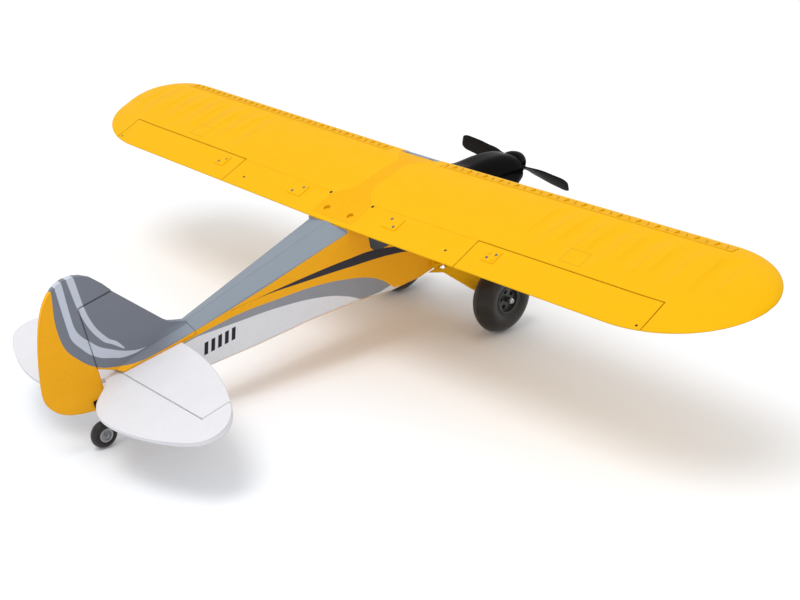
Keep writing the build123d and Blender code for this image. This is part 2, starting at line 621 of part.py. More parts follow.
def build_tail():
    """Fin with the deck under it, rudder, tailplane, elevator and their hinges and horns."""
    outline = [(-609.4, 74.5), (-557, 74.5), (-496.5, -3), (-490, -9), (-482, -13),
               (-467.5, -19.5), (-467.5, -35.7), (-576, -35.7), (-609.4, -14)]
    fin_plate = prism_xz(outline, -FIN_HALF, FIN_HALF)
    base = ruled([(x, [(0, ridge), (w, eave), (w, -35.7), (0, -35.7)]) for x, w, eave, ridge in
                  ((-467.6, 19.9, -29.8, -20.6), (-520, 15.5, -32.0, -21.5), (-560, 12.1, -33.4, -23.0),
                   (-583, 10.2, -34.2, -26.0))])
    base += mirrored(base)
    cut = prism_xz([(-576, -36), (-576, -35.7), (-612, -12.3), (-612, -36)], -30, 30)
    fin = fin_plate + base - cut
    fin -= rod((TAIL_POST_X, 0, -40), (TAIL_POST_X, 0, 80), FIN_HALF + 0.6)

    nose_r = FIN_HALF - 0.2
    rear = smooth_prism_xz([(-610, 119.0), (-625, 117.5), (-645, 104), (-660, 80), (-675, 38),
                            (-684, 0), (-685.5, -22), (-674, -45), (-648, -61.5), (-610, -73.5)],
                           -20, 20)
    front = prism_xz([(-610, 76.2), (-557.5, 76.2), (-567, 91), (-578, 104.5), (-590, 113),
                      (-600, 117.3), (-610, 119.0)], -nose_r, nose_r)
    wedge = prism_xy([(-610, nose_r), (-687, 1.4), (-687, -1.4), (-610, -nose_r)], -90, 130)
    stem = rod((TAIL_POST_X, 0, -73.5), (TAIL_POST_X, 0, 118), nose_r)
    rudder = (rear & wedge) + stem + front
    rudder -= rod((TAIL_POST_X, 0, -74), (TAIL_POST_X, 0, -52), TAIL_WIRE_RADIUS)

    tail_plan = Wire([Edge.make_spline([Vector(x, y, STAB_Z - STAB_HALF) for y, x in TAIL_OUTLINE]),
                      Edge.make_line((-600, 0, STAB_Z - STAB_HALF), (-490.5, 0, STAB_Z - STAB_HALF))])
    half = extrude(Face(tail_plan), amount=2 * STAB_HALF, dir=(0, 0, 1))
    plate = half + mirrored(half)
    nose = STAB_HALF - 0.2
    half_span = 240
    fixed_zone = block(ELEVATOR_HINGE_X, -400, -HORN_SPLIT, HORN_SPLIT, -60, -20)
    fixed_zone += block(BALANCE_X, -400, -half_span, half_span, -60, -20)
    stab = plate & fixed_zone
    stab -= hinge_bar(HORN_SPLIT + 1, nose + 0.4)
    moving_zone = block(ELEVATOR_HINGE_X, -700, -half_span, half_span, -60, -20)
    for s in (1, -1):
        moving_zone += block(BALANCE_X - TAIL_GAP, -600, s * (HORN_SPLIT + TAIL_GAP),
                             s * half_span, -60, -20)
    upper = [(-530, STAB_HALF), (ELEVATOR_HINGE_X, nose), (-660, 1.6)]
    taper = prism_xz([(x, STAB_Z + z) for x, z in upper]
                     + [(x, STAB_Z - z) for x, z in reversed(upper)], -half_span, half_span)
    elevator = (plate & moving_zone) & taper
    elevator += hinge_bar(HORN_SPLIT, nose)

    hinges = []
    for y in (-150, -55, 55, 150):
        spot = Pos(ELEVATOR_HINGE_X, y, STAB_Z)
        unit = spot * hinge(1.5, 0.6, 19.0, 4.0)
        hinges.append(unit)
        stab -= unit
        elevator -= spot * hinge_pocket(1.5, 0.6, nose, 4.0)
    for z in (8, 58):
        spot = Pos(TAIL_POST_X, 0, z) * Rot(90, 0, 0)
        unit = spot * hinge(1.6, 0.6, 19.0, 4.0)
        hinges.append(unit)
        fin -= unit
        rudder -= spot * hinge_pocket(1.6, 0.6, nose_r, 4.0)

    # Elevator horn under the joiner, on the left; rudder horn low on the right.
    y = ELEVATOR_LINK_Y
    eye_z = STAB_Z - ELEVATOR_CRANK
    horn = block(-585, -598, y - 2.6, y + 3.6, -45.6, -42)
    horn += prism_xz([(-586, -44), (-597, -44), (-583.5, eye_z - 2.2), (-579.5, eye_z - 2.2),
                      (-578.8, eye_z)], y - 0.8, y + 0.8)
    horn -= elevator
    horn -= rod((ELEVATOR_HINGE_X, y - 3, eye_z), (ELEVATOR_HINGE_X, y + 3, eye_z),
                ROD_RADIUS + EYE_CLEARANCE)
    eye_y = -RUDDER_CRANK
    rudder_horn = block(-614, -627, -5.8, -1, RUDDER_LINK_Z - 5, RUDDER_LINK_Z + 5)
    rudder_horn += prism_xy([(-614.5, -4), (-626, -4), (-612, eye_y - 2.4), (-608, eye_y - 2.4),
                             (-607.4, eye_y)], RUDDER_LINK_Z - 0.8, RUDDER_LINK_Z + 0.8)
    rudder_horn -= rudder
    rudder_horn -= rod((TAIL_POST_X, eye_y, RUDDER_LINK_Z - 3), (TAIL_POST_X, eye_y, RUDDER_LINK_Z + 3),
                       ROD_RADIUS + EYE_CLEARANCE)

    PARTS["fin"] = fin
    PARTS["stabilizer"] = stab
    PARTS["rudder"] = rudder
    PARTS["elevator"] = elevator
    PARTS["elevator_horn"] = horn
    PARTS["rudder_horn"] = rudder_horn

    place = Pos(ELEVATOR_SERVO_X, y, STAB_Z)
    PARTS["elevator_servo_arm"] = place * mirrored(servo_arm(ELEVATOR_CRANK))
    link = pushrod(ELEVATOR_SERVO_X - ELEVATOR_HINGE_X)
    PARTS["elevator_pushrod"] = Pos(ELEVATOR_SERVO_X, y - 2.0, eye_z) * link
    place = Pos(RUDDER_SERVO_X, 0, RUDDER_LINK_Z) * Rot(-90, 0, 0)
    PARTS["rudder_servo_arm"] = place * servo_arm(RUDDER_CRANK)
    place = Pos(RUDDER_SERVO_X, eye_y, RUDDER_LINK_Z - 2.0) * Rot(90, 0, 0)
    PARTS["rudder_pushrod"] = place * pushrod(RUDDER_SERVO_X - TAIL_POST_X)
    return hinges


# ---------------------------------------------------------------- struts and landing gear

def strut_pair():
    """Left lift struts: two streamlined bars that meet at the belly, tied by a jury strut."""
    lift = sin(DIHEDRAL) * STRUT_SPAN
    bars = []
    low = []
    for x, x_root in zip(STRUT_X, STRUT_ROOT_X):
        lower = Vector(x_root, 45.0, -127.0)
        upper = Vector(x, STRUT_SPAN * cos(DIHEDRAL), lift + 2.0)
        plane = Plane(lower, x_dir=(1, 0, 0), z_dir=upper - lower)
        bars.append(Solid.extrude(plane * Face(Wire(Edge.make_ellipse(7.0, 2.6))), upper - lower))
        low.append(lower + (upper - lower) * JURY_SHARE)
    strut = bars[0]
    strut += rod(low[0], low[1], 1.3)
    strut += bars[1]
    for foot in low:
        strut += rod(foot, (foot.X, foot.Y + 18, foot.Y * tan(DIHEDRAL) + 1.5), 1.5)
    return strut - Rot(degrees(DIHEDRAL), 0, 0) * block(-200, 20, 0, SPAN / 2, -0.3, 60)


def build_struts(blank):
    """Both pairs of struts and the clips that hold them."""
    strut = strut_pair()
    strut -= block(-100, 0, 0, 43.2, -160, -100)
    clips = []
    lift = sin(DIHEDRAL) * STRUT_SPAN
    for x in STRUT_X:
        clip = block(x - 11, x + 11, STRUT_SPAN - 22, STRUT_SPAN + 3, lift - 9, lift + 2)
        clip -= Rot(degrees(DIHEDRAL), 0, 0) * blank
        clips.append(clip - strut)
    clips.append(block(-67, -33, 41.5, 50, -133.0, -120) - strut)
    PARTS["strut_left"] = strut
    PARTS["strut_right"] = mirrored(strut)
    PARTS["strut_clips"] = solids(*clips, *[mirrored(c) for c in clips])


def build_gear():
    """Bent-wire main gear with foam fairings, straps, wheels and the steerable tail wheel."""
    leg_top, leg_low = (-8.0, 40.0, -144.2), (WHEEL_X, 88.0, WHEEL_Z)
    left = [(WHEEL_X, 134.0, WHEEL_Z), leg_low, leg_top]
    right = [(x, -y, z) for x, y, z in reversed(left)]
    wire = tube(left + right, [6.0] * 4, AXLE_RADIUS)
    PARTS["landing_gear_wire"] = wire

    run = Vector(0, leg_low[1] - leg_top[1], leg_low[2] - leg_top[2]).normalized()
    normal = Vector(1, 0, 0).cross(run)
    root = Vector(0, leg_top[1], leg_top[2])

    def on_leg(x, along):
        return root + run * along + Vector(x, 0, 0) - normal * 3.0

    outline = [(13, -2), (-69, -3), (-46, 9), (-17, 60), (-14, 66), (11, 66)]
    corners = [on_leg(*corner) for corner in outline]
    panel = extrude(Face(Wire.make_polygon(corners, close=True)), amount=6.0, dir=normal)
    notch = [(-51, -0.5), (-38, -0.5), (-38, 4.5), (-47, 4.5)]
    slot = [on_leg(*corner) - normal for corner in notch]
    panel -= extrude(Face(Wire.make_polygon(slot, close=True)), amount=9.0, dir=normal)
    # The wire runs inside the panel; any chip that it cuts off is dropped.
    fairing = max((panel - wire).solids(), key=lambda piece: piece.volume)
    PARTS["gear_fairing_left"] = fairing
    PARTS["gear_fairing_right"] = mirrored(fairing)

    straps = []
    belly = fuselage_outer()
    for y in (14, -14):
        strap = block(-24, 8, y - 6, y + 6, -149.2, -141.7) - belly - mirrored(belly)
        straps.append(strap - rod((-8, y - 8, leg_top[2]), (-8, y + 8, leg_top[2]), AXLE_RADIUS))
    PARTS["gear_straps"] = solids(*straps)

    collars = []
    for s in (1, -1):
        for y0, y1 in ((92.6, 97.2), (128.4, 132.8)):
            ring = rod((WHEEL_X, s * y0, WHEEL_Z), (WHEEL_X, s * y1, WHEEL_Z), 4.4)
            axle = rod((WHEEL_X, s * (y0 - 1), WHEEL_Z), (WHEEL_X, s * (y1 + 1), WHEEL_Z), AXLE_RADIUS)
            collars.append(ring - axle)
    PARTS["wheel_collars"] = solids(*collars)

    tyre, hub = wheel(WHEEL_RADIUS, WHEEL_HALF, 21.5, 15.0, AXLE_RADIUS, 5)
    place = Pos(WHEEL_X, WHEEL_Y, WHEEL_Z)
    PARTS["tyre_left"], PARTS["hub_left"] = place * tyre, place * hub
    PARTS["tyre_right"], PARTS["hub_right"] = mirrored(place * tyre), mirrored(place * hub)

    tyre, hub = wheel(TAIL_WHEEL_RADIUS, TAIL_WHEEL_HALF, 9.5, 7.0, TAIL_WIRE_RADIUS, 0)
    place = Pos(TAIL_WHEEL_X, 0, TAIL_WHEEL_Z)
    PARTS["tail_tyre"], PARTS["tail_hub"] = place * tyre, place * hub

    side = 10.0
    wire = tube([(TAIL_POST_X, 0, -54), (TAIL_POST_X, 0, -86), (TAIL_POST_X - 5, side, -93),
                 (TAIL_WHEEL_X, side, TAIL_WHEEL_Z), (TAIL_WHEEL_X, -side - 1, TAIL_WHEEL_Z)],
                [2.5, 2.5, 2.5], TAIL_WIRE_RADIUS)
    collar = rod((TAIL_WHEEL_X, -7.6, TAIL_WHEEL_Z), (TAIL_WHEEL_X, -10, TAIL_WHEEL_Z), 2.6)
    collar -= rod((TAIL_WHEEL_X, -7, TAIL_WHEEL_Z), (TAIL_WHEEL_X, -12, TAIL_WHEEL_Z),
                  TAIL_WIRE_RADIUS)
    PARTS["tail_wheel_wire"] = solids(wire, collar)

    bracket = prism_xz([(-566, -70), (-605, -70), (-616, -78.5), (-616, -83), (-603, -83),
                        (-566, -83.5)], -6, 6)
    bracket -= prism_xz([(-560, -60), (-619, -60), (-619, -76.0), (-560, -76.0)], -20, 20)
    bracket = bracket - belly - mirrored(belly)
    bracket -= rod((TAIL_POST_X, 0, -90), (TAIL_POST_X, 0, -60), TAIL_WIRE_RADIUS + PIN_CLEARANCE)
    PARTS["tail_wheel_bracket"] = bracket


def wheel(radius, half, hub_radius, hub_half, axle, holes):
    """Tyre and hub on the Y axis."""
    rim = hub_radius - 1.5
    mid, semi = (radius + rim) / 2, (radius - rim) / 2
    profile = Plane((0, 0, mid), x_dir=(0, 1, 0), z_dir=(1, 0, 0)) * Ellipse(half, semi)
    tyre = revolve(profile, axis=Axis.Y) - rod((0, -half - 1, 0), (0, half + 1, 0), hub_radius)
    hub = rod((0, -hub_half, 0), (0, hub_half, 0), hub_radius)
    dish = hub_half * 0.35
    for s in (1, -1):
        cut = rod((0, s * (hub_half - dish), 0), (0, s * (hub_half + 1), 0), hub_radius - 2.2)
        boss = rod((0, s * (hub_half - dish - 1), 0), (0, s * hub_half, 0), axle + 2.4)
        hub = hub - (cut - boss)
    for i in range(holes):
        spot = Rot(0, 360 / holes * i, 0) * Pos(0, 0, hub_radius * 0.58)
        hub -= spot * rod((0, -hub_half - 1, 0), (0, hub_half + 1, 0), hub_radius * 0.17)
    return tyre, hub - rod((0, -hub_half - 1, 0), (0, hub_half + 1, 0), axle + PIN_CLEARANCE)


# ---------------------------------------------------------------- fasteners

def screw(x, y, z, length, head=2.2, shank=1.0):
    """Screw driven upwards (+Z) with its head below z."""
    return rod((x, y, z), (x, y, z - 1.4), head) + rod((x, y, z), (x, y, z + length), shank)


def build_fasteners():
    """Wing bolts, and one node for every small screw."""
    bolts = []
    x, seat = -184, 2.6
    for y in (25, -25):
        head = rod((x, y, seat), (x, y, seat + 1.8), 4.2)
        bolts.append(head + rod((x, y, seat), (x, y, -11.5), 2.2))
    PARTS["wing_bolts"] = solids(*bolts)

    screws = []
    lift = sin(DIHEDRAL) * STRUT_SPAN
    for side in (1, -1):
        for x in STRUT_X:
            screws.append(screw(x + 8.5, side * (STRUT_SPAN - 2), lift - 9, 17))
        for x in (-20, 4):
            screws.append(screw(x, side * 14, -149.2, 12))
        side_screw = rod((-60, side * 50, -124), (-60, side * 38, -124), 1.0)
        screws.append(side_screw + rod((-60, side * 50, -124), (-60, side * 51.4, -124), 2.2))
    screws.append(screw(-573, 0, -83.4, 10))
    screws.append(screw(-593, 0, -83.1, 10))
    for one in screws:
        for name in ("strut_clips", "gear_straps", "tail_wheel_bracket", "wing_left_panel",
                     "wing_right_panel", "fuselage_left_half", "fuselage_right_half",
                     "strut_left", "strut_right"):
            if touches(PARTS[name], one):
                PARTS[name] -= one
    PARTS["small_screws"] = solids(*screws)


def touches(shape, other):
    """True when the two bounding boxes meet."""
    a, b = shape.bounding_box(), other.bounding_box()
    return all(lo <= hi for lo, hi in zip(tuple(a.min), tuple(b.max))) and \
        all(lo <= hi for lo, hi in zip(tuple(b.min), tuple(a.max)))


# ---------------------------------------------------------------- ground attitude and export

def ground_pitch():
    """Nose-up angle at which the main wheels and the tail wheel touch one plane, in radians."""
    dx, dz = WHEEL_X - TAIL_WHEEL_X, WHEEL_Z - TAIL_WHEEL_Z
    return asin((WHEEL_RADIUS - TAIL_WHEEL_RADIUS) / hypot(dx, dz)) - atan2(dz, dx)


def build():
    """Every sub-part in the row's frame, keyed by node name."""
    wing_hinges, blank = build_wing()
    build_fuselage()
    build_nose()
    build_radio()
    tail_hinges = build_tail()
    PARTS["surface_hinges"] = solids(*wing_hinges, *tail_hinges)
    build_struts(blank)
    build_gear()
    build_fasteners()

    pitch = ground_pitch()
    turned = {name: Rot(0, -degrees(pitch), 0) * shape for name, shape in PARTS.items()}
    box = Compound(list(turned.values())).bounding_box()
    floor = cos(pitch) * WHEEL_Z + sin(pitch) * WHEEL_X - WHEEL_RADIUS
    shift = Pos(-(box.min.X + box.max.X) / 2, 0, -floor)
    return {name: shift * shape for name, shape in turned.items()}, shift


def main():
    os.makedirs("parts", exist_ok=True)
    parts, shift = build()
    for name, shape in parts.items():
        export_step(shape, f"parts/{name}.step")
    whole = Compound(list(parts.values())).bounding_box()
    print("nodes", len(parts), "size", whole.size, "shift", shift.position,
          "pitch", degrees(ground_pitch()))


if __name__ == "__main__":
    main()
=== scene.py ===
import math

import bpy
from mathutils import Matrix, Vector


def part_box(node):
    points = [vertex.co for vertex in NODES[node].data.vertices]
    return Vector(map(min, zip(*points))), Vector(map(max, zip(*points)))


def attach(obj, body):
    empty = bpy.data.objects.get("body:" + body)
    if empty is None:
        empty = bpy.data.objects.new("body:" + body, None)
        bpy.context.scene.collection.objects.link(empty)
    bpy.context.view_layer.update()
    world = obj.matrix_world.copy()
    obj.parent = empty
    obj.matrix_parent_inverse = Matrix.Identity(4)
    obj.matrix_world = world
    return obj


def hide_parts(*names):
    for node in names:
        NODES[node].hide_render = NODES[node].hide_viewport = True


# Looks for a foam radio-control bush plane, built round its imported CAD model.
#
# Sizes below are millimetres in the plane's own flying frame: +X forward from the wing's leading
# edge, +Y to the left, +Z up from the wing's flat underside. The CAD model stands nose-up on its
# three wheels, so TO_ROW turns and moves that frame onto it.

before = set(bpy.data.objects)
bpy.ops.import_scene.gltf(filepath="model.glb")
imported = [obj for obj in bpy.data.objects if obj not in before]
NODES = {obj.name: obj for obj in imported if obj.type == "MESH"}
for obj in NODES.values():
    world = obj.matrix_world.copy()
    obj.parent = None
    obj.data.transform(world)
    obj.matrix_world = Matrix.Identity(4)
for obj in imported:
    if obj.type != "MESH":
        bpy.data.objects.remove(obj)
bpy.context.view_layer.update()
MM = 0.001


# ---------------------------------------------------------------- frame

MAIN_WHEEL = (1.0, 112.8, -199.5)        # centre of the left wheel; the right one mirrors it
TAIL_WHEEL = (-625.0, 0.0, -108.6)


def middle(node):
    """Centre of a CAD node's box, in metres."""
    low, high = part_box(node)
    return (low + high) / 2


def nose_up(front, rear):
    """Angle of the line from the tail wheel to the main wheels, seen from the side."""
    return math.atan2(front.z - rear.z, front.x - rear.x)


PITCH = (nose_up(middle("hub_left"), middle("tail_hub"))
         - nose_up(Vector(MAIN_WHEEL), Vector(TAIL_WHEEL)))
TURN = Matrix.Rotation(-PITCH, 4, "Y")
SHIFT = middle("hub_left") - (TURN @ Vector(MAIN_WHEEL)) * MM
SHIFT.y = 0.0
TO_ROW = Matrix.Translation(SHIFT) @ TURN @ Matrix.Scale(MM, 4)


def place(x, y, z):
    """A point of the flying frame, in the CAD model's metres."""
    return TO_ROW @ Vector((x, y, z))


# ---------------------------------------------------------------- shader helpers

def linear(red, green, blue):
    """Display colour, 0 to 255, as the linear colour that shaders take."""
    out = []
    for part in (red, green, blue):
        part /= 255.0
        out.append(part / 12.92 if part <= 0.04045 else ((part + 0.055) / 1.055) ** 2.4)
    return (*out, 1.0)


class Paint:
    """One material's nodes, with short calls for the few kinds that are used here."""

    def __init__(self, name):
        self.material = bpy.data.materials.new(name)
        self.material.use_nodes = True
        self.tree = self.material.node_tree
        self.shader = self.tree.nodes["Principled BSDF"]
        self.where = self.tree.nodes.new("ShaderNodeTexCoord").outputs["Object"]
        self.normal = None

    def link(self, value, socket):
        """Feeds a socket from another node's output, or sets it to a number or colour."""
        if isinstance(value, bpy.types.NodeSocket):
            self.tree.links.new(value, socket)
        else:
            socket.default_value = value

    def set(self, **values):
        """Shader inputs by name, with _ for a space."""
        for name, value in values.items():
            self.link(value, self.shader.inputs[name.replace("_", " ")])

    def maths(self, operation, *values, clamp=False):
        node = self.tree.nodes.new("ShaderNodeMath")
        node.operation = operation
        node.use_clamp = clamp
        for value, socket in zip(values, node.inputs):
            self.link(value, socket)
        return node.outputs[0]

    def mix(self, share, first, second):
        node = self.tree.nodes.new("ShaderNodeMix")
        node.data_type = "RGBA"
        self.link(share, node.inputs[0])
        self.link(first, node.inputs[6])
        self.link(second, node.inputs[7])
        return node.outputs[2]

    def flying(self):
        """(x, y, z) of the point being shaded, in the flying frame's millimetres."""
        node = self.tree.nodes.new("ShaderNodeMapping")
        node.vector_type = "TEXTURE"
        node.inputs["Location"].default_value = SHIFT
        node.inputs["Rotation"].default_value = (0.0, -PITCH, 0.0)
        node.inputs["Scale"].default_value = (MM, MM, MM)
        self.link(self.where, node.inputs["Vector"])
        parts = self.tree.nodes.new("ShaderNodeSeparateXYZ")
        self.link(node.outputs[0], parts.inputs[0])
        return parts.outputs

    def noise(self, size, detail=3.0, rough=0.5, stretch=None):
        """Soft noise, 0 to 1, whose lumps are about size millimetres across."""
        node = self.tree.nodes.new("ShaderNodeTexNoise")
        node.inputs["Scale"].default_value = 1.0 / (size * MM)
        node.inputs["Detail"].default_value = detail
        node.inputs["Roughness"].default_value = rough
        source = self.where
        if stretch:
            turn = self.tree.nodes.new("ShaderNodeMapping")
            turn.inputs["Scale"].default_value = stretch
            self.link(source, turn.inputs["Vector"])
            source = turn.outputs[0]
        self.link(source, node.inputs["Vector"])
        return node.outputs[0]

    def cells(self, size):
        """Distance to the middle of each cell, for beads size millimetres across."""
        node = self.tree.nodes.new("ShaderNodeTexVoronoi")
        node.inputs["Scale"].default_value = 1.0 / (size * MM)
        self.link(self.where, node.inputs["Vector"])
        return node.outputs["Distance"]

    def wave(self, size, distort):
        """Bands across X, about size millimetres apart and bent by distort."""
        bands_per_metre = 0.314     # scale at which the texture's bands are a metre apart
        node = self.tree.nodes.new("ShaderNodeTexWave")
        node.inputs["Scale"].default_value = bands_per_metre / (size * MM)
        node.inputs["Distortion"].default_value = distort
        self.link(self.where, node.inputs["Vector"])
        return node.outputs[1]

    def spread(self, value, low, high, out_low=0.0, out_high=1.0):
        """value from low..high taken to out_low..out_high, clamped."""
        node = self.tree.nodes.new("ShaderNodeMapRange")
        self.link(value, node.inputs[0])
        for socket, number in zip(node.inputs[1:5], (low, high, out_low, out_high)):
            socket.default_value = number
        return node.outputs[0]

    def bump(self, height, depth, strength=1.0):
        """Adds relief depth millimetres deep."""
        node = self.tree.nodes.new("ShaderNodeBump")
        node.inputs["Strength"].default_value = strength
        node.inputs["Distance"].default_value = depth * MM
        self.link(height, node.inputs["Height"])
        if self.normal:
            self.link(self.normal, node.inputs["Normal"])
        self.normal = node.outputs[0]
        self.link(self.normal, self.shader.inputs["Normal"])

    def soften(self, radius):
        """Rounds sharp edges by radius millimetres in the shading."""
        node = self.tree.nodes.new("ShaderNodeBevel")
        node.samples = 4
        node.inputs["Radius"].default_value = radius * MM
        self.normal = node.outputs[0]
        self.link(self.normal, self.shader.inputs["Normal"])

    def curve(self, value, points):
        """Smooth curve through points (in, out), both in millimetres, and level past its ends."""
        starts = [p[0] for p in points]
        ends = [p[1] for p in points]
        x0, x1 = min(starts), max(starts)
        z0, z1 = min(ends), max(ends) + 1e-3
        node = self.tree.nodes.new("ShaderNodeFloatCurve")
        line = node.mapping.curves[0]
        spots = sorted(((x - x0) / (x1 - x0), (z - z0) / (z1 - z0)) for x, z in points)
        while len(line.points) < len(spots):
            line.points.new(0.5, 0.5)
        for point, spot in zip(line.points, spots):
            point.location = spot
            point.handle_type = "AUTO_CLAMPED"
        node.mapping.update()
        self.link(self.spread(value, x0, x1), node.inputs["Value"])
        return self.maths("MULTIPLY_ADD", node.outputs[0], z1 - z0, z0)

    def above(self, value, edge, soft=0.35):
        """1 where value is over edge, 0 under it, with a painted line's soft edge."""
        gap = self.maths("SUBTRACT", value, edge)
        return self.maths("MULTIPLY_ADD", gap, 0.5 / soft, 0.5, clamp=True)

    def both(self, *masks):
        """1 only where every mask is 1."""
        out = masks[0]
        for mask in masks[1:]:
            out = self.maths("MULTIPLY", out, mask)
        return out


# ---------------------------------------------------------------- colours

YELLOW = (0.77, 0.405, 0.002, 1.0)
SIDE_YELLOW = (0.80, 0.37, 0.012, 1.0)
SLATE = linear(115, 119, 129)
SILVER = linear(129, 138, 148)
PALE = linear(184, 190, 202)
MID_GREY = linear(138, 140, 146)
CHARCOAL = linear(52, 52, 58)
FOAM_WHITE = linear(211, 211, 215)
INK = linear(40, 41, 46)


BEAD = 2.6      # size of the foam's beads


def foam(paint, colour, dent=0.05, shade=0.025, edge=1.6):
    """Finish of moulded bead foam: faint beads, slow mottling and softened edges."""
    beads = paint.cells(BEAD)
    mottle = paint.noise(26.0, detail=4.0)
    dark = paint.mix(shade, colour, linear(0, 0, 0))
    share = paint.spread(mottle, 0.35, 0.75)
    toned = paint.mix(share, colour, dark)
    seam = paint.spread(beads, 0.45, 0.8)
    toned = paint.mix(paint.maths("MULTIPLY", seam, 0.03), toned, linear(60, 60, 60))
    paint.set(Base_Color=toned, Specular_IOR_Level=0.06)
    paint.set(Roughness=paint.spread(mottle, 0.3, 0.7, 0.50, 0.62))
    paint.soften(edge)
    paint.bump(beads, dent, 0.6)
    paint.bump(paint.noise(0.9, detail=2.0), 0.02, 0.4)
    return paint.material


def plain_foam(name, colour, **finish):
    return foam(Paint(name), colour, **finish)


RIBS = (315.0, 365.0, 412.0, 462.0, 512.0, 575.0)
RIB_HOLLOW = 17.0                   # half width of the hollow over a rib
PIN_MARKS = ((-196.0, 539.0, 1.7), (-186.0, 217.0, 1.9), (-157.0, 45.0, 2.4))  # (x, y, radius)
ANCHOR = (-130.5, 394.0)            # centre of the strut's anchor plate
ANCHOR_HALF = (12.5, 16.0)
WING_TOP = 6.0                      # the marks are only on what lies above this height


def wing_foam():
    """Wing and gear fairings: deep yellow, hollows over the outer ribs, small dark pin marks."""
    paint = Paint("yellow_foam")
    x, y, z = paint.flying()
    out = paint.maths("ABSOLUTE", y)
    top = paint.above(z, WING_TOP)
    colour = YELLOW
    for spot_x, spot_y, radius in PIN_MARKS:
        away_x = paint.maths("SUBTRACT", x, spot_x)
        away_y = paint.maths("SUBTRACT", out, spot_y)
        gap = paint.maths("SQRT", paint.maths("ADD", paint.maths("MULTIPLY", away_x, away_x),
                                              paint.maths("MULTIPLY", away_y, away_y)))
        colour = paint.mix(paint.both(paint.above(radius, gap), top), colour, INK)
    # Outline of the strut's anchor plate, showing faintly through the upper skin.
    away_y = paint.maths("ABSOLUTE", paint.maths("SUBTRACT", out, ANCHOR[1]))
    away_x = paint.maths("ABSOLUTE", paint.maths("SUBTRACT", x, ANCHOR[0]))
    edge = paint.maths("ABSOLUTE", paint.maths("MAXIMUM", paint.maths("SUBTRACT", away_y, ANCHOR_HALF[1]),
                                               paint.maths("SUBTRACT", away_x, ANCHOR_HALF[0])))
    line = paint.both(paint.above(0.5, edge), top)
    colour = paint.mix(paint.maths("MULTIPLY", line, 0.25), colour, INK)
    hollows = None
    for rib in RIBS:
        away = paint.maths("DIVIDE", paint.maths("SUBTRACT", out, rib), RIB_HOLLOW)
        bowl = paint.maths("SUBTRACT", 1.0, paint.maths("MULTIPLY", away, away), clamp=True)
        hollows = bowl if hollows is None else paint.maths("ADD", hollows, bowl)
    fore, aft = paint.spread(x, -62.0, -38.0, 1.0, 0.0), paint.spread(x, -142.0, -105.0)
    hollows = paint.both(hollows, fore, aft, top)
    material = foam(paint, colour)
    paint.bump(paint.maths("SUBTRACT", 1.0, hollows), 3.0, 1.0)
    return material


def livery_foam():
    """Fuselage: silver deck, yellow and grey bands over white, charcoal flash, slanted bars."""
    paint = Paint("livery_foam")
    x, _, z = paint.flying()
    deck = paint.curve(x, [(-610, -36.6), (-460, -29.8), (-207, -5.6), (-100, 4.0), (60, 4.0)])
    yellow = paint.curve(x, [(-466, -38), (-410, -38.5), (-340, -47), (-270, -59), (-220, -74),
                             (-190, -87), (-165, -104), (-142, -130)])
    grey = paint.curve(x, [(-466, -40), (-410, -48.5), (-340, -60), (-270, -79), (-230, -98),
                           (-198, -122)])
    flash_top = paint.curve(x, [(-410, -28.5), (-320, -34), (-200, -46), (-170, -52), (-110, -72),
                                (60, -104)])
    flash_low = paint.curve(x, [(-410, -29), (-360, -32), (-300, -41.5), (-180, -64.5), (-120, -81),
                                (-90, -93), (60, -135)])
    base = paint.curve(x, [(-610, -73.6), (-460, -91.2), (-380, -100.4), (-293, -107.4),
                           (-207, -118.7), (-141, -135.4), (-85, -142.0), (60, -142.0)])
    ahead = paint.above(x, -133.0)
    colour = paint.mix(paint.maths("MAXIMUM", paint.above(z, grey), ahead), FOAM_WHITE, MID_GREY)
    colour = paint.mix(paint.maths("MAXIMUM", paint.above(z, yellow), ahead), colour, SIDE_YELLOW)
    flash = paint.both(paint.above(z, flash_low), paint.above(flash_top, z), paint.above(x, -410.0))
    colour = paint.mix(flash, colour, CHARCOAL)
    colour = paint.mix(paint.above(base, z), colour, SIDE_YELLOW)
    # Five plain slanted bars where a plane of this kind carries its marks.
    run = paint.maths("ADD", x, paint.maths("MULTIPLY_ADD", z, -0.3, 445.4))
    phase = paint.maths("PINGPONG", run, 5.5)
    bars = paint.both(paint.above(phase, 2.4), paint.above(run, -1.9), paint.above(53.1, run),
                      paint.above(z, -71.5), paint.above(-54.0, z))
    colour = paint.mix(bars, colour, INK)
    colour = paint.mix(paint.both(paint.above(z, deck), paint.above(-207.0, x)), colour, SILVER)
    return foam(paint, colour)


